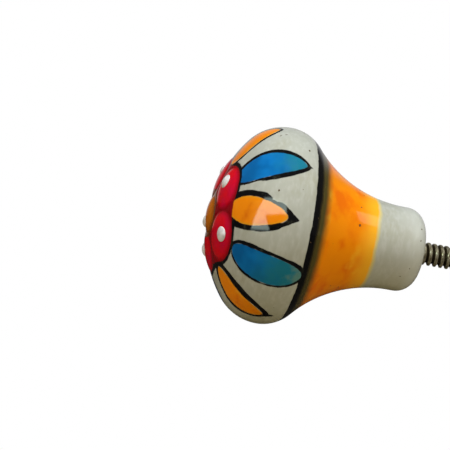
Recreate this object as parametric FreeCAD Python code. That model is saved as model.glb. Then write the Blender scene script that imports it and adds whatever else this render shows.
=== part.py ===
"""Hand-painted ceramic cabinet knob with a cemented-in threaded stud.

The knob's axis is Y: the painted face looks along -Y, the stud leaves along +Y, and +Z is up.
The origin is on the axis, in the flat back face that seats against the drawer front.
Lengths are in millimetres and angles in degrees.
"""
import FreeCAD, Part
import math
import os
from typing import NamedTuple

# Ceramic body: a domed head rounded at its rim, a flared neck and a rounded foot
KNOB_LENGTH = 43.8
HEAD_RADIUS = 20.0
HEAD_DEPTH = 13.3
RIM_ROUND_FRONT = 9.8
RIM_ROUND_BACK = 7.9
WAIST_RADIUS = 8.6
FOOT_LAND = 0.9
FOOT_ROUND = 4.0

# Modelled flower on the dome: one berry at the middle and five round it
BERRY_RISE = 0.42
BERRY_ROOT = 1.5
DOT_RISE = 0.7

# Threaded stud and the cement that holds it in the neck
STUD_RADIUS = 2.35
STUD_REACH = 32.0
STUD_GRIP = 15.0
STUD_CHAMFER = 0.6
THREAD_DEPTH = 0.75
CEMENT_WALL = 0.95
CEMENT_END = 2.0

# Places that follow from the sizes above
WIDEST_Y = HEAD_DEPTH - KNOB_LENGTH
DOME_RADIUS = (HEAD_RADIUS ** 2 + HEAD_DEPTH ** 2 - 2 * HEAD_RADIUS * RIM_ROUND_FRONT) / (
    2 * (HEAD_DEPTH - RIM_ROUND_FRONT)
)
STUD_ROOT_RADIUS = STUD_RADIUS - THREAD_DEPTH
BORE_RADIUS = STUD_RADIUS + CEMENT_WALL
BORE_DEPTH = STUD_GRIP + CEMENT_END
AXIS_POINT = FreeCAD.Vector(0, 0, 0)
AXIS = FreeCAD.Vector(0, 1, 0)


class Berry(NamedTuple):
    """One raised berry and its white dot, placed by turn and distance about the knob's axis.

    A turn is counter-clockwise seen from the front, from +X towards +Z.
    """

    turn: float
    distance: float
    radius: float
    dot_turn: float
    dot_distance: float
    dot_radius: float


BERRIES = (
    Berry(turn=0.0, distance=0.0, radius=3.6, dot_turn=-130.0, dot_distance=2.0, dot_radius=1.2),
    Berry(turn=39.0, distance=8.9, radius=4.3, dot_turn=49.0, dot_distance=9.0, dot_radius=1.5),
    Berry(turn=111.0, distance=8.3, radius=4.8, dot_turn=109.0, dot_distance=10.2, dot_radius=1.4),
    Berry(turn=179.0, distance=7.9, radius=4.5, dot_turn=172.0, dot_distance=8.6, dot_radius=1.4),
    Berry(turn=-99.0, distance=7.4, radius=4.4, dot_turn=-115.0, dot_distance=8.0, dot_radius=1.4),
    Berry(turn=-25.0, distance=9.0, radius=4.3, dot_turn=-20.0, dot_distance=10.1, dot_radius=1.6),
)


def at(radius, y):
    """Point of a profile: its distance from the axis and its place along it."""
    return FreeCAD.Vector(radius, y, 0)


def polyline(points):
    """Straight edges through the points, open at its ends."""
    return [Part.makeLine(a, b) for a, b in zip(points, points[1:])]


def round_edge(centre, radius, start, end):
    """Arc about a centre between two angles in radians, from +X towards +Y."""
    angles = (start, (start + end) / 2, end)
    points = [at(centre.x + radius * math.cos(a), centre.y + radius * math.sin(a)) for a in angles]
    return Part.Arc(*points).toShape()


def turned(edges):
    """Solid made by turning a closed profile about the knob's axis."""
    profile = Part.Wire(Part.sortEdges(edges)[0])
    return Part.Face(profile).revolve(AXIS_POINT, AXIS, 360)


def dome_edges():
    """The face's shallow dome and the rim's front round, tangent, from apex to widest circle."""
    dome_centre = at(0, DOME_RADIUS - KNOB_LENGTH)
    rim_centre = at(HEAD_RADIUS - RIM_ROUND_FRONT, WIDEST_Y)
    between = rim_centre - dome_centre
    lean = math.atan2(between.y, between.x)
    return [
        round_edge(dome_centre, DOME_RADIUS, -math.pi / 2, lean),
        round_edge(rim_centre, RIM_ROUND_FRONT, lean, 0),
    ]


def flare_edges():
    """The rim's back round and the neck's concave flare, tangent to each other and to the waist."""
    waist_y = -FOOT_ROUND - FOOT_LAND
    run = waist_y - WIDEST_Y
    step = HEAD_RADIUS - WAIST_RADIUS
    flare_radius = (run ** 2 + step ** 2 - 2 * step * RIM_ROUND_BACK) / (2 * step)
    rim_centre = at(HEAD_RADIUS - RIM_ROUND_BACK, WIDEST_Y)
    flare_centre = at(WAIST_RADIUS + flare_radius, waist_y)
    between = flare_centre - rim_centre
    lean = math.atan2(between.y, between.x)
    return [
        round_edge(rim_centre, RIM_ROUND_BACK, 0, lean),
        round_edge(flare_centre, flare_radius, lean - math.pi, -math.pi),
    ]


def body_blank():
    """Ceramic body before the flower is added and the stud's hole is made."""
    foot_centre = at(WAIST_RADIUS - FOOT_ROUND, -FOOT_ROUND)
    edges = dome_edges() + flare_edges()
    edges += polyline([at(WAIST_RADIUS, -FOOT_ROUND - FOOT_LAND), at(WAIST_RADIUS, -FOOT_ROUND)])
    edges.append(round_edge(foot_centre, FOOT_ROUND, 0, math.pi / 2))
    edges += polyline([at(foot_centre.x, 0), AXIS_POINT, at(0, -KNOB_LENGTH)])
    return turned(edges)


def dome_point(turn, distance):
    """Point of the dome's surface and the outward normal there."""
    across = FreeCAD.Vector(math.cos(math.radians(turn)), 0, math.sin(math.radians(turn)))
    height = math.sqrt(DOME_RADIUS ** 2 - distance ** 2)
    normal = (across * distance - AXIS * height) * (1 / DOME_RADIUS)
    return AXIS * (DOME_RADIUS - KNOB_LENGTH) + normal * DOME_RADIUS, normal


def ball_radius(cap_radius, cap_height):
    """Radius of the ball whose cap has this radius at its edge and this height."""
    return (cap_radius ** 2 + cap_height ** 2) / (2 * cap_height)


def berry_solids(berry):
    """A berry, which is a ball's cap with a root in the dome, and the ball of its white dot."""
    point, normal = dome_point(berry.turn, berry.distance)
    radius = ball_radius(berry.radius, BERRY_RISE + berry.radius ** 2 / (2 * DOME_RADIUS))
    centre = point - normal * (radius - BERRY_RISE)
    root = Part.makeCylinder(
        berry.radius + BERRY_ROOT, 2 * BERRY_ROOT, point - normal * BERRY_ROOT, normal
    )
    seat, _ = dome_point(berry.dot_turn, berry.dot_distance)
    lean = (seat - centre).normalize()
    dot_radius = ball_radius(berry.dot_radius, DOT_RISE)
    dot_centre = centre + lean * (radius + DOT_RISE - dot_radius)
    return [
        Part.makeSphere(radius, centre).common(root),
        Part.makeSphere(dot_radius, dot_centre, lean),
    ]


def ceramic_knob():
    """The fired piece: body, berries and dots in one solid, with a blind hole for the stud."""
    body = body_blank()
    for berry in BERRIES:
        for solid in berry_solids(berry):
            body = body.fuse(solid)
    hole = Part.makeCylinder(BORE_RADIUS, BORE_DEPTH, AXIS_POINT, AXIS * -1)
    return body.removeSplitter().cut(hole)


def stud():
    """Steel rod: at its thread's crest size outside the knob, and at its root size in the cement."""
    return turned(polyline([
        at(0, -STUD_GRIP),
        at(STUD_ROOT_RADIUS, -STUD_GRIP),
        at(STUD_ROOT_RADIUS, 0),
        at(STUD_RADIUS, 0),
        at(STUD_RADIUS, STUD_REACH - STUD_CHAMFER),
        at(STUD_RADIUS - STUD_CHAMFER, STUD_REACH),
        at(0, STUD_REACH),
        at(0, -STUD_GRIP),
    ]))


def stud_cement():
    """Cement that fills the hole behind the stud, round it and in its thread, flush with the foot."""
    return turned(polyline([
        at(STUD_ROOT_RADIUS, 0),
        at(BORE_RADIUS, 0),
        at(BORE_RADIUS, -BORE_DEPTH),
        at(0, -BORE_DEPTH),
        at(0, -STUD_GRIP),
        at(STUD_ROOT_RADIUS, -STUD_GRIP),
        at(STUD_ROOT_RADIUS, 0),
    ]))


def main():
    """Build each piece and write it to its own file."""
    os.makedirs("parts", exist_ok=True)
    for piece in (ceramic_knob, stud, stud_cement):
        shape = piece()
        solid = shape.Solids[0]
        solid.exportStep(f"parts/{piece.__name__}.step")
        box = solid.BoundBox
        print(f"{piece.__name__}: {len(shape.Solids)} solid, valid {solid.isValid()}, "
              f"volume {solid.Volume:.1f} mm3, y {box.YMin:.2f} to {box.YMax:.2f} mm")


main()
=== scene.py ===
"""Looks of a hand-painted ceramic cabinet knob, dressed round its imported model.

The knob's axis is Y: the painted face looks along -Y, the threaded stud leaves along +Y and +Z
is up. Sizes in the classes are millimetres and degrees, and meshes are in metres. A turn is
counter-clockwise seen from the front, from +X towards +Z. "Along" is the distance over the
ceramic's surface from the middle of its face.
"""
import logging
import math
from dataclasses import dataclass
from enum import Enum
from typing import Any, NamedTuple

import bpy
import numpy as np
from mathutils import Matrix, Vector


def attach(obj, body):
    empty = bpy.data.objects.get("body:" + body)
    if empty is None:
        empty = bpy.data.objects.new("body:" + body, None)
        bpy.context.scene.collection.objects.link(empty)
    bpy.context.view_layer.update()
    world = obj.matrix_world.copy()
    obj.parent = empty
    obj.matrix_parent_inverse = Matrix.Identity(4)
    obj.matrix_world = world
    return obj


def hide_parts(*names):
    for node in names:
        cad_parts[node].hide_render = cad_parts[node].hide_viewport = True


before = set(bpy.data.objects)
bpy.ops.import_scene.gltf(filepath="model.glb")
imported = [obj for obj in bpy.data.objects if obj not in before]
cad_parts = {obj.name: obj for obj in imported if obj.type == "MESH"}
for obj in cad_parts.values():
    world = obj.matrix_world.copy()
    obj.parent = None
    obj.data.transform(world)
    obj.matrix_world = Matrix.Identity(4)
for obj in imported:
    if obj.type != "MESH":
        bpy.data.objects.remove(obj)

LOG = logging.getLogger("knob")
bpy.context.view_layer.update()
MM = 0.001
BODY = "root"
WELD = 1e-6
UP = Vector((0, 0, 1))
AXIS = Vector((0, 1, 0))


def linear(colour: str) -> tuple[float, ...]:
    """Turn an sRGB hex colour such as #c0ffee into linear red, green, blue and alpha."""
    shares = [int(colour[place:place + 2], 16) / 255 for place in (1, 3, 5)]
    light = [s / 12.92 if s <= 0.04045 else ((s + 0.055) / 1.055) ** 2.4 for s in shares]
    return (*light, 1.0)


def add_node(
    tree: bpy.types.NodeTree, kind: str, inputs: dict | list | None = None, **settings: Any
) -> bpy.types.Node:
    """Add a shader node with its settings, and fill or link its inputs.

    Args:
        tree: Node tree that gets the node.
        kind: The node's type without the leading ShaderNode, such as Mix.
        inputs: What goes in, by name or in the order of the inputs in use. Text is a hex colour
            and a node stands for its first output in use.
        settings: The node's own attributes.

    Returns:
        The new node.
    """
    node = tree.nodes.new("ShaderNode" + kind)
    for name, value in settings.items():
        setattr(node, name, value)
    in_use = [socket for socket in node.inputs if socket.enabled]
    named = inputs.items() if isinstance(inputs, dict) else enumerate(inputs or [])
    for name, value in named:
        socket = in_use[name] if isinstance(name, int) else node.inputs[name]
        if isinstance(value, bpy.types.Node):
            value = next(output for output in value.outputs if output.enabled)
        if isinstance(value, bpy.types.NodeSocket):
            tree.links.new(value, socket)
        else:
            socket.default_value = linear(value) if isinstance(value, str) else value
    return node


def new_material(name: str) -> tuple[bpy.types.Material, bpy.types.NodeTree]:
    """Make an empty node material.

    Args:
        name: The material's name.

    Returns:
        The material and its node tree.
    """
    material = bpy.data.materials.new(name)
    material.use_nodes = True
    material.node_tree.nodes.clear()
    return material, material.node_tree


def grain(
    tree: bpy.types.NodeTree, size: float, detail: float = 2.0, shift: float = 0.0,
    stretch: tuple[float, float, float] = (1.0, 1.0, 1.0),
) -> bpy.types.Node:
    """Make a soft random pattern fixed to the knob, about 0.5 on average.

    Args:
        tree: Node tree that gets the pattern.
        size: Size of one patch, in millimetres.
        detail: Number of finer layers.
        shift: Millimetres that the pattern is moved by, so that two of one size differ.
        stretch: How many times finer the patches are along X, Y and Z.

    Returns:
        The pattern's last node.
    """
    place = add_node(tree, "TexCoord").outputs["Object"]
    moved = add_node(tree, "Mapping", {
        "Vector": place,
        "Location": (shift * MM, shift * MM, shift * MM),
        "Scale": stretch,
    })
    return add_node(tree, "TexNoise", {"Vector": moved, "Scale": 1 / (size * MM), "Detail": detail})


def dapple(
    tree: bpy.types.NodeTree, under: Any, over: Any, pattern: bpy.types.Node, start: float, end: float
) -> bpy.types.Node:
    """Let a second colour show where a pattern's value is high.

    Args:
        tree: Node tree that gets the colours.
        under: Colour where the pattern is below the start.
        over: Colour where it is above the end.
        pattern: The pattern, or any other value to go by.
        start: Value at which the second colour begins to show.
        end: Value at which it covers.

    Returns:
        The node that gives the blended colour.
    """
    share = add_node(tree, "MapRange", [pattern, start, end], interpolation_type="SMOOTHSTEP")
    return add_node(tree, "Mix", [share, under, over], data_type="RGBA")


def show_only(piece: bpy.types.Object) -> None:
    """Select one object, make it active and leave the rest unselected."""
    bpy.ops.object.select_all(action="DESELECT")
    piece.select_set(True)
    bpy.context.view_layer.objects.active = piece


def start_point(name: str, place: tuple[float, float, float]) -> bpy.types.Object:
    """Start a piece from a small ring that is merged to one selected point, in edit mode.

    Args:
        name: The piece's name.
        place: The point, in millimetres.

    Returns:
        The new object, at the origin, with the point in its mesh.
    """
    bpy.ops.object.select_all(action="DESELECT")
    bpy.ops.mesh.primitive_circle_add(vertices=3, radius=MM, location=[c * MM for c in place])
    piece = bpy.context.object
    piece.name = piece.data.name = name
    bpy.ops.object.transform_apply(location=True)
    bpy.ops.object.mode_set(mode="EDIT")
    bpy.ops.mesh.select_all(action="SELECT")
    bpy.ops.mesh.merge(type="CENTER")
    return piece


def draw_run(across: float, along: float) -> None:
    """Extrude the selected point of a profile by millimetres across and along the axis."""
    bpy.ops.mesh.extrude_vertices_move(TRANSFORM_OT_translate={"value": (across * MM, along * MM, 0)})


def draw_arc(centre: tuple[float, float], sweep: float, steps: int) -> None:
    """Spin the selected point of a profile about a centre.

    Args:
        centre: The arc's centre, in millimetres across and along the axis.
        sweep: Angle in degrees, positive from +X towards +Y.
        steps: Number of edges along the arc.
    """
    bpy.ops.mesh.spin(
        steps=steps, angle=math.radians(abs(sweep)), dupli=False,
        center=(centre[0] * MM, centre[1] * MM, 0), axis=(0, 0, -math.copysign(1, sweep)),
    )


def close_mesh(piece: bpy.types.Object, crease: float) -> None:
    """Weld a mesh's seams and poles, point its faces outwards and shade it.

    Args:
        piece: The object, in edit mode.
        crease: Edges sharper than this many degrees stay crisp.
    """
    bpy.ops.mesh.select_all(action="SELECT")
    bpy.ops.mesh.remove_doubles(threshold=WELD)
    bpy.ops.mesh.normals_make_consistent(inside=False)
    bpy.ops.object.mode_set(mode="OBJECT")
    show_only(piece)
    bpy.ops.object.shade_smooth_by_angle(angle=math.radians(crease))


def points_of(piece: bpy.types.Object) -> np.ndarray:
    """Read a mesh's points, in millimetres, one row each."""
    flat = np.empty(len(piece.data.vertices) * 3)
    piece.data.vertices.foreach_get("co", flat)
    return flat.reshape(-1, 3) / MM


def move_points(piece: bpy.types.Object, points: np.ndarray) -> None:
    """Write a mesh's points, in millimetres, one row each."""
    piece.data.vertices.foreach_set("co", (points * MM).ravel())
    piece.data.update()


def normals_of(piece: bpy.types.Object) -> np.ndarray:
    """Read a mesh's point normals, one row each."""
    flat = np.empty(len(piece.data.vertices) * 3)
    piece.data.vertex_normals.foreach_get("vector", flat)
    return flat.reshape(-1, 3)


def store(piece: bpy.types.Object, name: str, values: np.ndarray) -> None:
    """Keep one number per point in a mesh attribute for the materials to read."""
    attribute = piece.data.attributes.new(name, "FLOAT", "POINT")
    attribute.data.foreach_set("value", values.astype(np.float32))


def put_on_knob(piece: bpy.types.Object, node: str, material: bpy.types.Material) -> None:
    """Let a finished piece stand for a node, ride on the knob and wear its material.

    Args:
        piece: The finished object.
        node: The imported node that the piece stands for.
        material: What the piece wears.
    """
    piece.data.materials.clear()
    piece.data.materials.append(material)
    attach(piece, BODY)
    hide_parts(node)
    LOG.info("%s: %d faces", piece.name, len(piece.data.polygons))


@dataclass(frozen=True)
class KnobShape:
    """Turned form of the ceramic: arcs that run into each other from the face to the foot."""

    length: float = 43.8
    head_radius: float = 20.0
    head_depth: float = 13.3
    rim_round_front: float = 9.8
    rim_round_back: float = 7.9
    waist_radius: float = 8.6
    foot_land: float = 0.9
    foot_round: float = 4.0
    bore_radius: float = 3.3
    bore_depth: float = 17.0

    SAMPLES = 400

    @property
    def widest_y(self) -> float:
        """Place along the axis of the head's widest circle."""
        return self.head_depth - self.length

    @property
    def dome_radius(self) -> float:
        """Radius of the face's dome, which meets the rim's front round smoothly."""
        reach = self.head_radius ** 2 + self.head_depth ** 2 - 2 * self.head_radius * self.rim_round_front
        return reach / (2 * (self.head_depth - self.rim_round_front))

    @property
    def dome_centre(self) -> tuple[float, float]:
        """Centre of the dome's arc."""
        return 0.0, self.dome_radius - self.length

    @property
    def front_centre(self) -> tuple[float, float]:
        """Centre of the rim's front round."""
        return self.head_radius - self.rim_round_front, self.widest_y

    @property
    def back_centre(self) -> tuple[float, float]:
        """Centre of the rim's back round."""
        return self.head_radius - self.rim_round_back, self.widest_y

    @property
    def waist_y(self) -> float:
        """Place along the axis where the flare has narrowed to the waist."""
        return -self.foot_round - self.foot_land

    @property
    def flare_radius(self) -> float:
        """Radius of the neck's flare, tangent to the rim's back round and to the waist."""
        run = self.waist_y - self.widest_y
        step = self.head_radius - self.waist_radius
        return (run ** 2 + step ** 2 - 2 * step * self.rim_round_back) / (2 * step)

    @property
    def flare_centre(self) -> tuple[float, float]:
        """Centre of the flare's arc, outside the knob."""
        return self.waist_radius + self.flare_radius, self.waist_y

    def lean_between(self, start: tuple[float, float], end: tuple[float, float]) -> float:
        """Direction from one centre to another, in degrees from +X towards +Y."""
        return math.degrees(math.atan2(end[1] - start[1], end[0] - start[0]))

    def arcs(self) -> list[tuple[tuple[float, float], float, float, float]]:
        """List the profile's arcs from the middle of the face to the waist.

        Returns:
            Centre, radius, start angle and end angle of each, in millimetres and degrees.
        """
        front = self.lean_between(self.dome_centre, self.front_centre)
        back = self.lean_between(self.back_centre, self.flare_centre)
        return [
            (self.dome_centre, self.dome_radius, -90.0, front),
            (self.front_centre, self.rim_round_front, front, 0.0),
            (self.back_centre, self.rim_round_back, 0.0, back),
            (self.flare_centre, self.flare_radius, back - 180, -180.0),
        ]

    def sampled(self) -> np.ndarray:
        """Sample the arcs finely, as rows of distance from the axis and place along it."""
        rows = []
        for centre, radius, start, end in self.arcs():
            angles = np.radians(np.linspace(start, end, self.SAMPLES))
            rows.append(centre + radius * np.stack([np.cos(angles), np.sin(angles)], 1))
        return np.concatenate(rows)


class SurfaceMap:
    """Turns a distance along the ceramic's surface and a turn into a point, and back."""

    def __init__(self, shape: KnobShape) -> None:
        """Measure the profile of a shape."""
        self.shape = shape
        self.profile = shape.sampled()
        steps = np.hypot(*np.diff(self.profile, axis=0).T)
        self.along = np.concatenate([[0.0], np.cumsum(steps)])
        self.lean = self._lean(self.profile[:, 0], self.profile[:, 1])

    def _lean(self, radius: np.ndarray, y: np.ndarray) -> np.ndarray:
        """Angle about the middle of the widest circle, which grows all along the profile."""
        return np.arctan2(radius, self.shape.widest_y - y)

    def along_of(self, points: np.ndarray) -> np.ndarray:
        """Distance along the surface from the middle of the face, for rows of points."""
        radius = np.hypot(points[:, 0], points[:, 2])
        return np.interp(self._lean(radius, points[:, 1]), self.lean, self.along)

    def radius_at(self, along: np.ndarray) -> np.ndarray:
        """Distance from the axis at a distance along the surface."""
        return np.interp(along, self.along, self.profile[:, 0])

    def points_at(self, along: np.ndarray, turn: np.ndarray) -> np.ndarray:
        """Points of the surface, one row each.

        Args:
            along: Distances over the surface, in millimetres.
            turn: Turns, in degrees.

        Returns:
            Rows of X, Y and Z, in millimetres.
        """
        radius = self.radius_at(along)
        y = np.interp(along, self.along, self.profile[:, 1])
        angle = np.radians(turn)
        return np.stack([radius * np.cos(angle), y, radius * np.sin(angle)], 1)


class Paint(Enum):
    """Colours that the painter filled the petals with."""

    ORANGE = "orange"
    BLUE = "blue"


class Side(Enum):
    """Which edges of a petal a line of black follows."""

    UPPER = 1
    LOWER = -1
    BOTH = 0


class Line(NamedTuple):
    """One brushed line along a petal's edge, in millimetres and shares of the petal's length."""

    side: Side
    width: float
    gap: float = -0.08
    start: float = -0.3
    end: float = 1.3
    swell: float = 0.0


class Point(NamedTuple):
    """Black point past a petal's outer end: where it starts, its half width and its reach."""

    start: float
    half_width: float
    reach: float


@dataclass(frozen=True)
class Petal:
    """One painted petal, laid along the surface from its inner to its outer end.

    It is widest at its belly, a share of its length, and its outer end leans sideways by
    millimetres. An end's fullness runs from 0.5, a round end, to 1, a pointed one. A black line's
    width wavers by the share WAVER, and thins to the share TIP over its last TAPER millimetres.
    """

    paint: Paint
    turn: float
    inner: float
    outer: float
    half_width: float
    belly: float = 0.5
    inner_full: float = 0.6
    outer_full: float = 0.9
    lean: float = 0.0
    lines: tuple[Line, ...] = (Line(Side.BOTH, 0.8),)
    point: Point | None = None

    DABS = 56
    WAVER = 0.14
    WAVER_RATE = 9
    TAPER = 1.6
    TIP = 0.3
    PAST_MIDDLE = 0.1
    POINT_TIP = 0.08
    POINT_GAP = 0.05

    @property
    def length(self) -> float:
        """Length of the fill along the surface."""
        return self.outer - self.inner

    def half_width_at(self, share: np.ndarray) -> np.ndarray:
        """Half the petal's width at a share of its length."""
        inside = np.clip(share, 0, 1)
        from_belly = np.where(
            inside < self.belly, 1 - inside / self.belly, (inside - self.belly) / (1 - self.belly))
        fullness = np.where(inside < self.belly, self.inner_full, self.outer_full)
        return self.half_width * (1 - from_belly ** 2) ** fullness

    def spine_shift(self, share: np.ndarray) -> np.ndarray:
        """How far the petal's middle line lies to the side, in millimetres."""
        return self.lean * (share - 0.5)

    def spine(self, surface: SurfaceMap, share: np.ndarray) -> np.ndarray:
        """Points of the petal's middle line, one row for each share of its length."""
        along = self.inner + share * self.length
        shift = self.spine_shift(share) / surface.radius_at(along)
        return surface.points_at(along, self.turn + np.degrees(shift))

    def chart(
        self, surface: SurfaceMap, along: np.ndarray, turn: np.ndarray
    ) -> tuple[np.ndarray, np.ndarray]:
        """Place points in the petal's own layout.

        Args:
            surface: The ceramic's surface.
            along: The points' distances along the surface.
            turn: The points' turns.

        Returns:
            Share of the petal's length and millimetres to the side of its middle line.
        """
        share = (along - self.inner) / self.length
        apart = (turn - self.turn + 180) % 360 - 180
        across = surface.radius_at(along) * np.radians(apart) - self.spine_shift(share)
        return share, across

    def fill_field(self, surface: SurfaceMap, points: np.ndarray) -> np.ndarray:
        """Distance from each point to the petal's edge, negative inside."""
        share = np.linspace(0, 1, self.DABS)
        return dab_field(points, self.spine(surface, share), self.half_width_at(share))

    def ink_field(self, fill: np.ndarray, share: np.ndarray, across: np.ndarray) -> np.ndarray:
        """Distance from each point to the petal's black lines, negative inside.

        Args:
            fill: The petal's fill field.
            share: The points' shares of the petal's length.
            across: The points' millimetres to the side of the middle line.

        Returns:
            The field of all its lines together.
        """
        field = np.full_like(fill, np.inf)
        for line in self.lines:
            swell = line.swell * np.sin(np.pi * np.clip(share, 0, 1))
            brush = 1 + swell + self.WAVER * np.sin(self.WAVER_RATE * share + self.turn)
            ends = np.minimum(share - line.start, line.end - share) * self.length
            half = line.width / 2 * brush * np.clip(ends / self.TAPER + self.TIP, 0, 1)
            stroke = np.abs(fill - line.gap - line.width / 2) - half
            if line.side is not Side.BOTH:
                stroke = np.maximum(stroke, -across * line.side.value - self.PAST_MIDDLE)
            field = np.minimum(field, np.maximum(stroke, -ends))
        return field

    def point_field(self, surface: SurfaceMap, points: np.ndarray, fill: np.ndarray) -> np.ndarray:
        """Distance from each point to the black point past the fill, negative inside.

        Args:
            surface: The ceramic's surface.
            points: Rows of points, in millimetres.
            fill: The petal's fill field, which the black point leaves free.

        Returns:
            The black point's field.
        """
        share = np.linspace(self.point.start, 1 + self.point.reach / self.length, self.DABS)
        radii = self.point.half_width * np.linspace(1, self.POINT_TIP, self.DABS)
        dabs = dab_field(points, self.spine(surface, share), radii)
        return np.maximum(dabs, self.POINT_GAP - fill)


def smooth_union(first: np.ndarray, second: np.ndarray, blend: float) -> np.ndarray:
    """Join two fields and fill the notch where their edges meet.

    Args:
        first: Distances to the one shape's edge, negative inside.
        second: Distances to the other shape's edge.
        blend: How far round the notch the join reaches, in millimetres.

    Returns:
        The joined shape's field.
    """
    close = np.maximum(blend - np.abs(first - second), 0)
    return np.minimum(first, second) - close ** 2 / (4 * blend)


def dab_field(points: np.ndarray, centres: np.ndarray, radii: np.ndarray) -> np.ndarray:
    """Distance from each point to the nearest of a brush stroke's round dabs, negative inside.

    Args:
        points: Rows of points, in millimetres.
        centres: Middle of each dab, one row each.
        radii: Radius of each dab.

    Returns:
        One distance per point.
    """
    field = np.full(len(points), np.inf)
    for centre, radius in zip(centres, radii):
        field = np.minimum(field, np.linalg.norm(points - centre, axis=1) - radius)
    return field


class Dot(NamedTuple):
    """White drop on a berry, by turn and distance from the axis."""

    turn: float
    distance: float
    radius: float
    rise: float = 0.5


class Berry(NamedTuple):
    """One raised berry and its white dot, by turn and distance from the axis.

    The stretch is how much longer the berry is round the knob than away from its middle.
    """

    turn: float
    distance: float
    radius: float
    stretch: float
    rise: float
    dot: Dot


@dataclass(frozen=True)
class Flower:
    """The painted and modelled flower: a centre, five red berries and ten petals.

    The spreads are how far the red and the centre's brown run past the modelled edges, more
    towards the middle. The notch is how far the red fills the gap between two berries.
    """

    groove: float = 0.05
    spread: float = 0.3
    inner_spread: float = 1.3
    centre_spread: float = 1.3
    inner_reach: tuple[float, float] = (6.0, 9.0)
    notch: float = 5.0
    outline: float = 1.0
    centre: Berry = Berry(0.0, 0.0, 3.6, 1.0, 0.55, Dot(-130.0, 2.0, 1.2, 0.5))
    berries: tuple[Berry, ...] = (
        Berry(39.0, 8.8, 3.95, 1.16, 0.42, Dot(49.0, 9.0, 1.4)),
        Berry(111.0, 8.3, 4.5, 1.05, 0.38, Dot(109.0, 9.6, 1.0, 0.3)),
        Berry(179.0, 7.9, 4.3, 1.05, 0.3, Dot(172.0, 8.6, 1.0, 0.3)),
        Berry(-99.0, 7.6, 4.1, 1.1, 0.42, Dot(-115.0, 8.0, 1.35, 0.55)),
        Berry(-25.0, 9.0, 4.15, 1.16, 0.42, Dot(-20.0, 10.1, 1.5)),
    )
    petals: tuple[Petal, ...] = (
        Petal(Paint.ORANGE, 77.0, 11.4, 23.1, 2.9, 0.5, 0.7, 0.75, lines=(
            Line(Side.LOWER, 0.7, 0.05), Line(Side.UPPER, 0.7, 0.05))),
        Petal(Paint.BLUE, 39.3, 13.0, 28.3, 3.05, 0.47, 0.5, 0.9, lines=(
            Line(Side.UPPER, 0.75, swell=0.25),
            Line(Side.LOWER, 0.5, start=-0.1, end=0.56),
            Line(Side.LOWER, 0.95, start=0.4, end=1.1)), point=Point(0.96, 0.5, 1.3)),
        Petal(Paint.ORANGE, 7.2, 11.6, 25.2, 2.9, 0.42, 0.5, 0.66, lean=-1.05, lines=(
            Line(Side.UPPER, 1.2, start=-0.1, end=0.76, swell=0.12),
            Line(Side.UPPER, 0.5, start=0.55, end=1.05),
            Line(Side.LOWER, 1.15, start=-0.15, end=1.0)), point=Point(0.85, 2.6, 2.3)),
        Petal(Paint.BLUE, -26.0, 15.2, 30.6, 3.1, 0.5, 0.45, 0.6, lean=-1.0, lines=(
            Line(Side.UPPER, 0.75), Line(Side.LOWER, 0.5))),
        Petal(Paint.ORANGE, -60.0, 12.4, 25.7, 2.7, 0.5, 0.75, 0.85, lean=-1.0, lines=(
            Line(Side.UPPER, 1.15, 0.1, swell=0.3), Line(Side.LOWER, 0.95)),
            point=Point(0.8, 1.9, 2.4)),
        Petal(Paint.BLUE, -101.0, 13.0, 24.0, 3.0, 0.55, 0.5, 0.6),
        Petal(Paint.ORANGE, -132.0, 11.0, 24.5, 2.9, 0.5, 0.7, 0.8),
        Petal(Paint.BLUE, -167.0, 12.2, 24.5, 2.8, 0.6, 0.6, 0.5),
        Petal(Paint.ORANGE, 149.0, 9.8, 24.0, 3.2, 0.6, 0.7, 0.6),
        Petal(Paint.BLUE, 113.0, 11.2, 25.0, 3.3, 0.7, 0.9, 0.45),
    )

    WOBBLE = 0.12
    RIPPLE = 0.06
    CAP_FULLNESS = 0.85
    GROOVE_PLACE = 1.06
    GROOVE_WIDTH = 0.09

    def all_berries(self) -> tuple[Berry, ...]:
        """The red berries and the centre one."""
        return (*self.berries, self.centre)

    def berry_share(self, shape: KnobShape, points: np.ndarray, berry: Berry) -> np.ndarray:
        """Distance from each point to a berry's middle, as a share of the way to its edge."""
        away = points - np.array(dome_point(shape, berry.turn, berry.distance))
        angle = math.radians(berry.turn)
        sideways = away @ np.array([-math.sin(angle), 0, math.cos(angle)])
        plain = np.linalg.norm(away, axis=1)
        outward = np.sqrt(np.maximum(plain ** 2 - sideways ** 2, 0))
        return np.hypot(outward, sideways / berry.stretch) / berry.radius

    def berry_field(self, shape: KnobShape, points: np.ndarray, berry: Berry) -> np.ndarray:
        """Distance from each point to a berry's slightly uneven edge, negative inside."""
        turn = np.arctan2(points[:, 2], points[:, 0])
        uneven = self.WOBBLE * np.sin(3 * turn + berry.turn)
        uneven += self.RIPPLE * np.sin(7 * turn - berry.distance)
        return (self.berry_share(shape, points, berry) - 1) * berry.radius + uneven

    def height(self, shape: KnobShape, points: np.ndarray) -> np.ndarray:
        """How far the modelling lifts each point of the face."""
        height = np.zeros(len(points))
        for berry in self.all_berries():
            share = self.berry_share(shape, points, berry)
            cap = berry.rise * np.clip(1 - share ** 2, 0, 1) ** self.CAP_FULLNESS
            valley = self.groove * np.exp(-((share - self.GROOVE_PLACE) / self.GROOVE_WIDTH) ** 2)
            height = np.where(cap > 0, np.maximum(height, cap), height) - valley
        return height


def dome_point(shape: KnobShape, turn: float, distance: float) -> tuple[float, float, float]:
    """Point of the face's dome at a turn and a distance from the axis."""
    y = shape.dome_centre[1] - math.sqrt(shape.dome_radius ** 2 - distance ** 2)
    angle = math.radians(turn)
    return distance * math.cos(angle), y, distance * math.sin(angle)


def dome_normal(shape: KnobShape, point: tuple[float, float, float]) -> Vector:
    """Outward normal of the face's dome at one of its points."""
    return (Vector(point) - Vector((0, shape.dome_centre[1], 0))).normalized()


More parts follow.
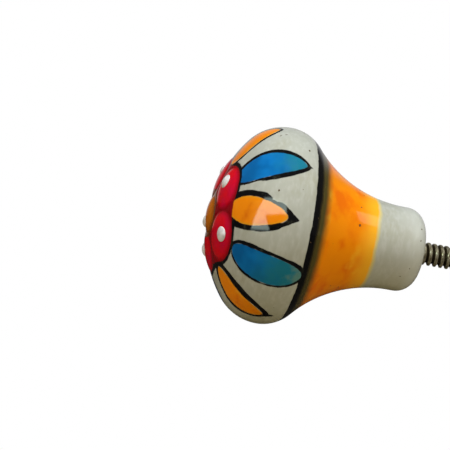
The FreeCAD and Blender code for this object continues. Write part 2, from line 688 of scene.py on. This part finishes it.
@dataclass(frozen=True)
class PaintedGlaze:
    """Cream earthenware, underglaze painted by brush and fired under a clear gloss glaze.

    The clear coat gives sharp reflections over colours that stay soft and mottled, the brushed
    fills pool darker in places, and the black lines vary as the brush lifts. The red is painted
    darker at the berries' edges, and the centre's brown darker towards its rim: painted shade in
    the valleys between them. The thick colours shine more than the bare ground of the face between
    them. The bands' places, and where the blue dries to teal, are millimetres along the axis.
    """

    ground: str = "#abada1"
    ground_stain: str = "#a3a392"
    ground_pale: str = "#b8bab1"
    neck: str = "#c2c5bd"
    speck: str = "#54422c"
    orange: str = "#ef8804"
    orange_deep: str = "#dd6c02"
    orange_thin: str = "#f0a020"
    orange_edge: str = "#d8981c"
    flare: str = "#f08a04"
    flare_deep: str = "#e66f04"
    flare_light: str = "#f4ac24"
    flare_end: str = "#cfc07c"
    blue: str = "#0c70b6"
    blue_deep: str = "#065e9e"
    blue_dry: str = "#1c748c"
    blue_worn: str = "#57837f"
    red: str = "#d4061a"
    red_cool: str = "#c60a34"
    # painted shade: the red's darker tone laid in the valleys at the berries' edges
    red_valley_shade: str = "#84040f"
    centre: str = "#c06a10"
    # painted shade: the centre's brown darkens towards its rim, in the valley round it
    centre_edge_shade: str = "#6e3506"
    ink: str = "#0d0d0f"
    ink_thin: str = "#2c2e26"
    olive: str = "#4c4420"
    ring_front: float = -26.4
    ring_solid: float = -25.0
    ring_back: float = -22.5
    flare_back: float = -10.9
    band_tilt: float = -0.012
    dry_start: float = -37.0
    dry_end: float = -31.5
    brush_grain: float = 1.3
    brush_waver: float = 0.3
    shine: float = 0.5
    ground_shine: float = 0.2

    def level(self, tree: bpy.types.NodeTree) -> bpy.types.Node:
        """Give each point's millimetres along the axis, a little tilted as the painter held it."""
        place = add_node(tree, "SeparateXYZ", [add_node(tree, "TexCoord").outputs["Object"]])
        tilted = [place.outputs["Z"], self.band_tilt, place.outputs["Y"]]
        tilted = add_node(tree, "Math", tilted, operation="MULTIPLY_ADD")
        return add_node(tree, "Math", [tilted, 1 / MM], operation="MULTIPLY")

    def coat(
        self, tree: bpy.types.NodeTree, under: Any, name: str, over: Any, soft: float = 0.1
    ) -> bpy.types.Node:
        """Lay a colour inside the edge that a mesh attribute draws, with a brush's uneven edge.

        Args:
            tree: The material's node tree.
            under: Colour below.
            name: The attribute, in millimetres, negative inside.
            over: Colour laid on.
            soft: Half width of the edge's softness, in millimetres.

        Returns:
            The node that gives the colour after the coat.
        """
        edge = add_node(tree, "Attribute", attribute_name=name).outputs["Fac"]
        uneven = [grain(tree, self.brush_grain, 3.0), self.brush_waver, edge]
        uneven = add_node(tree, "Math", uneven, operation="MULTIPLY_ADD")
        middle = self.brush_waver / 2
        return dapple(tree, under, over, uneven, middle + soft, middle - soft)

    def bands(self, tree: bpy.types.NodeTree, under: Any) -> bpy.types.Node:
        """Paint the flare's yellow and the black ring that fades into it.

        Args:
            tree: The material's node tree.
            under: Colour below.

        Returns:
            The node that gives the colour after both bands.
        """
        level = self.level(tree)
        uneven = add_node(tree, "Math", [grain(tree, 4.0, 3.0), 1.1, level], operation="MULTIPLY_ADD")
        round_brush = grain(tree, 2.2, 3.0, 6.0, (1.0, 2.4, 1.0))
        brushed = add_node(tree, "Math", [round_brush, 0.5, level], operation="MULTIPLY_ADD")
        warm = dapple(tree, self.flare, self.flare_deep, grain(tree, 5.0, 3.0, 7.0), 0.45, 0.7)
        warm = dapple(tree, warm, self.flare_light, grain(tree, 4.0, 4.0, 17.0), 0.54, 0.8)
        back = self.flare_back + 0.55
        thin = dapple(tree, warm, self.flare_light, uneven, back - 5.0, back - 0.8)
        end = dapple(tree, thin, self.flare_end, uneven, back - 0.7, back)
        flare = dapple(tree, end, under, uneven, back - 0.2, back + 0.7)
        olive = dapple(tree, self.ink, self.olive, brushed, self.ring_solid, self.ring_solid + 0.9)
        ring = dapple(tree, olive, flare, brushed, self.ring_back - 1.3, self.ring_back + 0.9)
        return dapple(tree, under, ring, brushed, self.ring_front + 0.16, self.ring_front + 0.34)

    def blue_fill(self, tree: bpy.types.NodeTree) -> bpy.types.Node:
        """Mix the petals' blue, deep where it pooled and a thin teal towards the outer end."""
        pooled = dapple(tree, self.blue, self.blue_deep, grain(tree, 5.5, 2.0, 13.0), 0.42, 0.66)
        dried = [grain(tree, 3.5, 4.0, 5.0), 9.0, self.level(tree)]
        dried = add_node(tree, "Math", dried, operation="MULTIPLY_ADD")
        dry = dapple(tree, pooled, self.blue_dry, dried, self.dry_start + 4.5, self.dry_end + 6.0)
        worn = [grain(tree, 1.6, 4.0, 15.0), 7.0, self.level(tree)]
        worn = add_node(tree, "Math", worn, operation="MULTIPLY_ADD")
        return dapple(tree, dry, self.blue_worn, worn, self.dry_end + 5.5, self.dry_end + 8.5)

    def colours(self, tree: bpy.types.NodeTree) -> bpy.types.Node:
        """Lay all the painting, in the order in which the painter would."""
        colour = dapple(tree, self.ground, self.ground_stain, grain(tree, 6.0, 5.0), 0.42, 0.72)
        streaks = grain(tree, 1.4, 3.0, 31.0, (1.0, 1.6, 0.6))
        colour = dapple(tree, colour, self.ground_pale, streaks, 0.4, 0.85)
        colour = dapple(tree, colour, self.neck, self.level(tree), self.flare_back, 4.0)
        colour = self.bands(tree, colour)
        colour = dapple(tree, colour, self.speck, grain(tree, 1.1, 0.0, 41.0), 0.82, 0.85)
        orange = dapple(tree, self.orange, self.orange_deep, grain(tree, 4.0, 3.0, 3.0), 0.5, 0.75)
        orange = dapple(tree, orange, self.orange_thin, grain(tree, 4.5, 3.0, 11.0), 0.52, 0.75)
        edge = add_node(tree, "Attribute", attribute_name="orange").outputs["Fac"]
        orange = dapple(tree, orange, self.orange_edge, edge, -0.8, 0.3)
        colour = self.coat(tree, colour, "orange", orange)
        colour = self.coat(tree, colour, "blue", self.blue_fill(tree))
        ink = dapple(tree, self.ink, self.ink_thin, grain(tree, 1.4, 4.0, 2.0), 0.52, 0.78)
        colour = self.coat(tree, colour, "ink", ink)
        edge = add_node(tree, "Attribute", attribute_name="valley").outputs["Fac"]
        red = dapple(tree, self.red, self.red_cool, grain(tree, 5.0, 2.0, 23.0), 0.4, 0.65)
        # painted shade: the red darkens towards the berries' edges, in the valleys between them
        red = dapple(tree, red, self.red_valley_shade, edge, -0.9, 0.5)
        colour = self.coat(tree, colour, "red", red)
        middle = add_node(tree, "Attribute", attribute_name="centre").outputs["Fac"]
        # painted shade: the brown darkens from the middle of the centre out to its rim
        brown = dapple(tree, self.centre, self.centre_edge_shade, middle, -2.6, -0.3)
        return self.coat(tree, colour, "centre", brown)

    def material(self) -> bpy.types.Material:
        """Build the painted and glazed finish."""
        material, tree = new_material("painted_glazed_earthenware")
        ripple = add_node(tree, "Bump", {
            "Height": grain(tree, 2.6, 1.0, 4.0),
            "Strength": 0.2,
            "Distance": 0.08 * MM,
        })
        patches = grain(tree, 4.0, 3.0, 9.0)
        gloss = add_node(tree, "MapRange", {"Value": patches, "To Min": 0.06, "To Max": 0.14})
        bare = add_node(tree, "Attribute", attribute_name="bare").outputs["Fac"]
        shine = add_node(tree, "MapRange", [bare, 0.0, 0.3, self.shine, self.ground_shine])
        surface = add_node(tree, "BsdfPrincipled", {
            "Base Color": self.colours(tree),
            "Roughness": gloss,
            "IOR": 1.5,
            "Specular IOR Level": shine,
            "Normal": ripple,
        })
        add_node(tree, "OutputMaterial", {"Surface": surface})
        return material


@dataclass(frozen=True)
class WhiteSlip:
    """Thick white slip, trailed in drops and glazed with the body, so it is smooth and glossy."""

    colour: str = "#dedcdb"
    hollow: str = "#cac9c7"

    def material(self) -> bpy.types.Material:
        """Build the drops' finish."""
        material, tree = new_material("white_slip_drops")
        surface = add_node(tree, "BsdfPrincipled", {
            "Base Color": dapple(tree, self.colour, self.hollow, grain(tree, 1.2, 3.0), 0.45, 0.7),
            "Roughness": 0.14,
            "IOR": 1.5,
        })
        add_node(tree, "OutputMaterial", {"Surface": surface})
        return material


@dataclass(frozen=True)
class PlatedSteel:
    """Rolled steel thread with a thin nickel plating, bright on its crests.

    The plating has dulled under a thin film, so only a share of it still mirrors. Its colour is
    painted dark brown down into the grooves as painted shade, and the grooves are matt.
    """

    crest: str = "#d6ceb4"
    worn: str = "#948a6c"
    # painted shade: the dark brown laid in the thread's grooves
    groove: str = "#3c3220"
    bare: float = 0.78
    groove_radius: float = 1.95
    crest_radius: float = 2.3

    def material(self) -> bpy.types.Material:
        """Build the thread's finish."""
        material, tree = new_material("dulled_plated_steel")
        place = add_node(tree, "TexCoord").outputs["Object"]
        level = add_node(tree, "VectorMath", [place, (1.0, 0.0, 1.0)], operation="MULTIPLY")
        radius = add_node(tree, "VectorMath", [level], operation="LENGTH")
        bright = add_node(tree, "MapRange", [radius, self.groove_radius * MM, self.crest_radius * MM])
        metal = dapple(tree, self.crest, self.worn, grain(tree, 0.9, 4.0), 0.4, 0.7)
        dull = add_node(tree, "MapRange", {"Value": bright, "To Min": 0.55, "To Max": 0.28})
        surface = add_node(tree, "BsdfPrincipled", {
            # painted shade: the colour darkens from the crests down into the grooves
            "Base Color": dapple(tree, self.groove, metal, bright, 0.1, 0.9),
            "Metallic": self.bare,
            "Roughness": dull,
        })
        add_node(tree, "OutputMaterial", {"Surface": surface})
        return material


@dataclass(frozen=True)
class SettingCement:
    """Grey-white setting cement, poured round the stud and left as it set: matt and gritty."""

    colour: str = "#b9b5a8"
    grit: str = "#8f8a7c"

    def material(self) -> bpy.types.Material:
        """Build the cement's finish."""
        material, tree = new_material("setting_cement")
        speck = grain(tree, 0.45, 4.0)
        bump = add_node(tree, "Bump", {"Height": speck, "Strength": 0.6, "Distance": 0.12 * MM})
        surface = add_node(tree, "BsdfPrincipled", {
            "Base Color": dapple(tree, self.colour, self.grit, speck, 0.4, 0.7),
            "Roughness": 0.9,
            "Normal": bump,
        })
        add_node(tree, "OutputMaterial", {"Surface": surface})
        return material


@dataclass(frozen=True)
class CeramicBody:
    """The fired body: turned form, modelled berries and the painting laid out on it."""

    shape: KnobShape = KnobShape()
    flower: Flower = Flower()
    segments: int = 480
    fine_step: float = 0.24
    plain_step: float = 0.7
    foot_steps: int = 12
    crease: float = 50.0
    fine_reach: float = -23.0
    painted_reach: float = 36.0
    outline_gap: float = 0.2

    FAR = 9.0
    COVERED = -1.0

    def build(self) -> bpy.types.Object:
        """Turn the body, lift the berries and lay out the painting.

        Returns:
            The finished object.
        """
        body = self.turn_body()
        surface = SurfaceMap(self.shape)
        points = points_of(body)
        front = np.flatnonzero(points[:, 1] < self.fine_reach)
        height = np.zeros(len(points))
        height[front] = self.flower.height(self.shape, points[front])
        self.paint(body, surface, points)
        move_points(body, points + normals_of(body) * height[:, None])
        put_on_knob(body, "ceramic_knob", PaintedGlaze().material())
        return body

    def turn_body(self) -> bpy.types.Object:
        """Draw the profile with arcs and runs, and spin it round the axis."""
        shape = self.shape
        body = start_point("painted_ceramic_body", (0, -shape.length, 0))
        steps = (self.fine_step, self.fine_step, self.fine_step, self.plain_step)
        for (centre, radius, start, end), step in zip(shape.arcs(), steps):
            length = radius * math.radians(abs(end - start))
            draw_arc(centre, end - start, math.ceil(length / step))
        draw_run(0, shape.foot_land)
        foot_centre = shape.waist_radius - shape.foot_round
        draw_arc((foot_centre, -shape.foot_round), 90, self.foot_steps)
        draw_run(shape.bore_radius - foot_centre, 0)
        draw_run(0, -shape.bore_depth)
        draw_run(-shape.bore_radius, 0)
        bpy.ops.mesh.select_all(action="SELECT")
        bpy.ops.mesh.spin(
            steps=self.segments, angle=math.tau, center=(0, 0, 0), axis=AXIS, dupli=False)
        close_mesh(body, self.crease)
        return body

    def paint(self, body: bpy.types.Object, surface: SurfaceMap, points: np.ndarray) -> None:
        """Lay out every painted shape as a distance to its edge, kept on the mesh.

        The bare field is the distance to the nearest paint of the face.

        Args:
            body: The turned body.
            surface: The map of its surface.
            points: Its points before the berries are lifted.
        """
        along = surface.along_of(points)
        near = np.flatnonzero(along < self.painted_reach)
        spots = points[near]
        turn = np.degrees(np.arctan2(spots[:, 2], spots[:, 0]))
        far = np.full(len(near), self.FAR)
        fields = {name: far.copy() for name in ("orange", "blue", "ink", "red", "centre")}
        for petal in self.flower.petals:
            fill = petal.fill_field(surface, spots)
            share, across = petal.chart(surface, along[near], turn)
            name = petal.paint.value
            fields[name] = np.minimum(fields[name], fill)
            fields["ink"] = np.minimum(fields["ink"], petal.ink_field(fill, share, across))
            if petal.point:
                fields["ink"] = np.minimum(fields["ink"], petal.point_field(surface, spots, fill))
        fields["valley"] = far.copy()
        for berry in self.flower.berries:
            edge = self.flower.berry_field(self.shape, spots, berry)
            fields["valley"] = np.minimum(fields["valley"], edge)
            fields["red"] = smooth_union(fields["red"], edge, self.flower.notch)
        fields["centre"] = self.flower.berry_field(self.shape, spots, self.flower.centre)
        inside = np.interp(np.hypot(spots[:, 0], spots[:, 2]), self.flower.inner_reach, (1, 0))
        outline = np.where(inside > 0, far, fields["red"] - self.flower.outline)
        outline = np.maximum(outline, self.outline_gap - fields["orange"])
        fields["ink"] = np.minimum(fields["ink"], outline)
        fields["red"] -= self.flower.spread + self.flower.inner_spread * inside
        fields["centre"] -= self.flower.centre_spread
        fields["bare"] = np.minimum.reduce(list(fields.values()))
        fields["bare"][spots[:, 1] > PaintedGlaze.ring_front] = self.COVERED
        for name, field in fields.items():
            values = np.full(len(points), self.COVERED if name == "bare" else self.FAR)
            values[near] = field
            store(body, name, values)


@dataclass(frozen=True)
class SlipDrops:
    """White drops trailed on the berries, each a low round blob."""

    shape: KnobShape = KnobShape()
    flower: Flower = Flower()
    foot: float = 0.3
    rings: int = 12
    segments: int = 48
    crease: float = 60.0

    def build(self) -> bpy.types.Object:
        """Model each berry's drop and join them.

        Returns:
            All the drops as one object.
        """
        drops = [self.drop(berry.dot) for berry in self.flower.all_berries()]
        bpy.ops.object.select_all(action="DESELECT")
        for drop in drops:
            drop.select_set(True)
        bpy.context.view_layer.objects.active = drops[0]
        bpy.ops.object.join()
        piece = bpy.context.object
        piece.name = piece.data.name = "white_slip_drops"
        put_on_knob(piece, "ceramic_knob", WhiteSlip().material())
        return piece

    def drop(self, dot: Dot) -> bpy.types.Object:
        """Model one berry's drop: the cap of a ball on a short foot that is sunk in the berry.

        Args:
            dot: Where the drop sits and its size.

        Returns:
            The drop, in its place.
        """
        point = dome_point(self.shape, dot.turn, dot.distance)
        normal = dome_normal(self.shape, point)
        seat = self.flower.height(self.shape, np.array([point]))[0]
        ball = (dot.radius ** 2 + dot.rise ** 2) / (2 * dot.rise)
        drop = start_point("drop", (0, dot.rise, 0))
        draw_arc((0, dot.rise - ball), -math.degrees(math.asin(dot.radius / ball)), self.rings)
        draw_run(0, -self.foot)
        draw_run(-dot.radius, 0)
        bpy.ops.mesh.select_all(action="SELECT")
        bpy.ops.mesh.spin(
            steps=self.segments, angle=math.tau, center=(0, 0, 0), axis=AXIS, dupli=False)
        close_mesh(drop, self.crease)
        turned = normal.to_track_quat("Y", "Z").to_matrix().to_4x4()
        drop.data.transform(Matrix.Translation((Vector(point) + normal * seat) * MM) @ turned)
        return drop


@dataclass(frozen=True)
class ThreadedStud:
    """Steel stud with a rolled coarse thread outside the knob and its root size in the cement."""

    crest_radius: float = 2.35
    root_radius: float = 1.6
    pitch: float = 1.27
    reach: float = 32.0
    grip: float = 15.0
    chamfer: float = 0.6
    steps: int = 48
    crease: float = 50.0
    groove_depth: float = 0.55
    tooth: tuple[tuple[float, float], ...] = (
        (0.0, 0.0), (0.06, 0.0), (0.14, 0.14), (0.28, 0.78), (0.36, 0.97), (0.5, 1.0),
        (0.64, 0.97), (0.72, 0.78), (0.86, 0.14), (0.94, 0.0), (1.0, 0.0),
    )

    def build(self) -> bpy.types.Object:
        """Wind one tooth's profile into the thread, trim it and taper its end.

        Returns:
            The finished object.
        """
        stud = self.wind_thread()
        self.trim(stud)
        points = points_of(stud)
        radius = np.hypot(points[:, 0], points[:, 2])
        limit = np.minimum(self.crest_radius, self.crest_radius + self.reach - self.chamfer - points[:, 1])
        limit = np.where(points[:, 1] < 0, self.root_radius, limit)
        shrink = np.minimum(1, limit / np.maximum(radius, WELD))
        points[:, 0] *= shrink
        points[:, 2] *= shrink
        move_points(stud, points)
        put_on_knob(stud, "stud", PlatedSteel().material())
        return stud

    def wind_thread(self) -> bpy.types.Object:
        """Draw one tooth and wind it up the stud with a screw modifier."""
        start = -self.grip - self.pitch
        stud = start_point("threaded_stud", (self.crest_radius - self.groove_depth, start, 0))
        for (along, height), (next_along, next_height) in zip(self.tooth, self.tooth[1:]):
            draw_run((next_height - height) * self.groove_depth, (next_along - along) * self.pitch)
        bpy.ops.object.mode_set(mode="OBJECT")
        winding = stud.modifiers.new("winding", "SCREW")
        winding.axis = "Y"
        winding.screw_offset = self.pitch * MM
        winding.iterations = math.ceil((self.reach + self.grip) / self.pitch) + 2
        winding.steps = winding.render_steps = self.steps
        bpy.ops.object.modifier_apply(modifier=winding.name)
        return stud

    def trim(self, stud: bpy.types.Object) -> None:
        """Cut both ends square and close them."""
        bpy.ops.object.mode_set(mode="EDIT")
        bpy.ops.mesh.select_all(action="SELECT")
        bpy.ops.mesh.remove_doubles(threshold=WELD)
        for level, outer in ((-self.grip, False), (self.reach, True)):
            bpy.ops.mesh.select_all(action="SELECT")
            bpy.ops.mesh.bisect(
                plane_co=(0, level * MM, 0), plane_no=AXIS, threshold=WELD, use_fill=True,
                clear_outer=outer, clear_inner=not outer)
        close_mesh(stud, self.crease)


@dataclass(frozen=True)
class StudCement:
    """Cement that fills the neck round the stud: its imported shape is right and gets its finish."""

    def dress(self) -> bpy.types.Object:
        """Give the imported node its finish."""
        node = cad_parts["stud_cement"]
        node.data.materials.clear()
        node.data.materials.append(SettingCement().material())
        LOG.info("%s: dressed", node.name)
        return node


def toward(azimuth: float, elevation: float) -> Vector:
    """Give a direction by degrees.

    Args:
        azimuth: From straight in front of the painted face towards the camera's side.
        elevation: Above the level.

    Returns:
        The direction, one unit long.
    """
    turn, rise = math.radians(azimuth), math.radians(elevation)
    return Vector((math.sin(turn) * math.cos(rise), -math.cos(turn) * math.cos(rise), math.sin(rise)))


@dataclass(frozen=True)
class Lamp:
    """Flat softbox that faces the knob and lights it without showing in the glaze.

    The glow is how many times brighter its face is than plain white.
    """

    name: str
    azimuth: float
    elevation: float
    glow: float
    size: float = 300.0
    distance: float = 620.0
    colour: str = "#ffffff"

    def hang(self, aim: Vector) -> None:
        """Hang the lamp so that it faces a point.

        Args:
            aim: The point, in millimetres.
        """
        data = bpy.data.lights.new(self.name, "AREA")
        data.size = self.size * MM
        data.energy = self.glow * 4 * data.size ** 2
        data.color = linear(self.colour)[:3]
        lamp = bpy.data.objects.new(self.name, data)
        bpy.context.scene.collection.objects.link(lamp)
        away = toward(self.azimuth, self.elevation)
        lamp.location = (aim + away * self.distance) * MM
        lamp.rotation_mode = "QUATERNION"
        lamp.rotation_quaternion = away.to_track_quat("Z", "Y")
        lamp.visible_camera = False
        lamp.visible_glossy = False


@dataclass(frozen=True)
class WindowCard:
    """Bright card of any outline that only shows as a window's pale mirror image in the glaze.

    Its corners are directions in degrees, as the lamps' are.
    """

    name: str
    glow: float
    corners: tuple[tuple[float, float], ...]
    distance: float = 620.0
    colour: str = "#fafff2"

    def hang(self, aim: Vector) -> None:
        """Hang the card round a point.

        Args:
            aim: The point, in millimetres.
        """
        bpy.ops.object.select_all(action="DESELECT")
        bpy.ops.mesh.primitive_circle_add(vertices=len(self.corners), fill_type="NGON")
        card = bpy.context.object
        card.name = self.name
        move_points(card, np.array([aim + toward(*corner) * self.distance for corner in self.corners]))
        material, tree = new_material(self.name)
        light = add_node(tree, "Emission", {"Color": self.colour, "Strength": self.glow})
        add_node(tree, "OutputMaterial", {"Surface": light})
        card.data.materials.append(material)
        card.visible_camera = False
        card.visible_diffuse = False
        card.visible_shadow = False
        card.visible_transmission = False


@dataclass(frozen=True)
class Studio:
    """Plain pale floor, soft light and the camera at the picture's angle.

    Places are millimetres, but the camera's clip is in metres. The floor is white to the eye past
    the shadow's reach, and nearer it is white by a share that leaves the knob's shadow in it.
    """

    camera_place: tuple[float, float, float] = (393.2, -99.9, 0.0)
    aim: tuple[float, float, float] = (0.0, -26.53, 0.0)
    aim_pixel: tuple[float, float] = (292.35, 229.03)
    picture_width: float = 450.0
    focal_pixels: float = 1981.8
    roll: float = 10.49
    sensor: float = 36.0
    floor_level: float = -60.0
    floor_size: float = 6000.0
    shadow_reach: tuple[float, float] = (50.0, 80.0)
    shadow_white: float = 0.8
    clip: tuple[float, float] = (0.01, 50.0)
    floor_bounce: str = "#8a7b55"
    floor_mirrored: str = "#2c2a25"
    sky: str = "#a2a3a2"
    room: str = "#3c3a36"
    far_side: str = "#b8b8ba"
    backdrop: tuple[float, float, float] = (-0.97, 0.24, 0.0)
    lamps: tuple[Lamp, ...] = (
        Lamp("key_softbox", 80.0, 72.0, 11.6, colour="#f6faff"),
        Lamp("side_fill", 124.0, 4.0, 4.0, colour="#fff6e8"),
        Lamp("front_fill", 10.0, 0.0, 4.7, colour="#fff8ee"),
    )
    windows: tuple[WindowCard, ...] = (
        WindowCard("front_window", 5.2, (
            (24.4, 23.0), (78.9, 28.3), (84.8, 14.7), (37.0, 8.5), (60.0, -12.0), (3.0, -12.0),
        ), colour="#e4fbf2"),
        WindowCard("back_window", 1.6, ((176.5, 39.1), (164.5, 54.7), (138.2, 36.3), (156.6, 30.0))),
        WindowCard("neck_window", 0.7, (
            (166.0, 56.0), (122.0, 46.0), (112.0, 31.0), (126.0, 14.0), (139.0, 35.5))),
    )

    def build(self) -> None:
        """Set up camera, floor, world and lamps."""
        self.place_camera()
        self.lay_floor()
        self.light_world()
        for light in (*self.lamps, *self.windows):
            light.hang(Vector(self.aim))
        bpy.context.scene.view_settings.view_transform = "Standard"

    def place_camera(self) -> None:
        """Stand the camera off and turn its aim so that the knob sits right of the middle."""
        data = bpy.data.cameras.new("camera")
        data.sensor_width = self.sensor
        data.lens = self.focal_pixels * self.sensor / self.picture_width
        data.clip_start, data.clip_end = self.clip
        camera = bpy.data.objects.new("camera", data)
        bpy.context.scene.collection.objects.link(camera)
        place, aim = Vector(self.camera_place), Vector(self.aim)
        ahead = (aim - place).normalized()
        level = ahead.cross(UP).normalized()
        roll = math.radians(self.roll)
        across = math.cos(roll) * level + math.sin(roll) * UP
        above = across.cross(ahead)
        straight = Matrix((across, above, -ahead)).transposed().to_quaternion()
        middle = self.picture_width / 2
        off = Vector((self.aim_pixel[0] - middle, middle - self.aim_pixel[1], -self.focal_pixels))
        camera.location = place * MM
        camera.rotation_mode = "QUATERNION"
        camera.rotation_quaternion = straight @ off.rotation_difference(Vector((0, 0, -1)))
        bpy.context.scene.camera = camera

    def lay_floor(self) -> None:
        """Lay a wide floor that looks white and still takes the knob's shadow near it."""
        bpy.ops.object.select_all(action="DESELECT")
        bpy.ops.mesh.primitive_plane_add(size=self.floor_size * MM, location=(0, 0, self.floor_level * MM))
        floor = bpy.context.object
        floor.name = "floor"
        material, tree = new_material("pale_floor")
        place = add_node(tree, "TexCoord").outputs["Object"]
        away = add_node(tree, "VectorMath", [place], operation="LENGTH")
        near, far = (reach * MM for reach in self.shadow_reach)
        beyond = add_node(tree, "MapRange", [away, near, far, self.shadow_white, 1.0])
        eye = add_node(tree, "LightPath").outputs["Is Camera Ray"]
        seen = add_node(tree, "Math", [eye, beyond], operation="MULTIPLY")
        mirrored = add_node(tree, "LightPath").outputs["Is Glossy Ray"]
        shade = add_node(tree, "Mix", [mirrored, self.floor_bounce, self.floor_mirrored], data_type="RGBA")
        matt = add_node(tree, "BsdfDiffuse", {"Color": shade})
        white = add_node(tree, "Emission", {"Color": "#ffffff", "Strength": 1.0})
        add_node(tree, "OutputMaterial", {"Surface": add_node(tree, "MixShader", [seen, matt, white])})
        floor.data.materials.append(material)

    def light_world(self) -> None:
        """Show white behind the knob, and light it with a dim grey.

        The glaze mirrors a pale backdrop from the far side alone: the room on the camera's side
        is dim, so the colours stay full.
        """
        world = bpy.data.worlds.new("studio")
        world.use_nodes = True
        bpy.context.scene.world = world
        tree = world.node_tree
        tree.nodes.clear()
        path = add_node(tree, "LightPath")
        direction = add_node(tree, "TexCoord").outputs["Object"]
        facing = add_node(tree, "VectorMath", [direction, self.backdrop], operation="DOT_PRODUCT")
        mirrored = dapple(tree, self.room, self.far_side, facing, 0.75, 1.0)
        lit = add_node(tree, "Mix", [path.outputs["Is Glossy Ray"], self.sky, mirrored], data_type="RGBA")
        eye = [path.outputs["Is Camera Ray"], path.outputs["Is Transmission Ray"]]
        seen = add_node(tree, "Math", eye, operation="MAXIMUM")
        shown = add_node(tree, "Mix", [seen, lit, "#ffffff"], data_type="RGBA")
        background = add_node(tree, "Background", {"Color": shown, "Strength": 1.0})
        add_node(tree, "OutputWorld", {"Surface": background})


def corners(box: tuple[Vector, Vector]) -> list[list[float]]:
    """Write a box as its two corners' plain numbers."""
    return [list(corner) for corner in box]


def main() -> None:
    """Build the pieces in order, then the studio."""
    logging.basicConfig(level=logging.INFO, format="%(name)s: %(message)s")
    CeramicBody().build()
    SlipDrops().build()
    ThreadedStud().build()
    StudCement().dress()
    Studio().build()


if __name__ == "__main__":
    main()
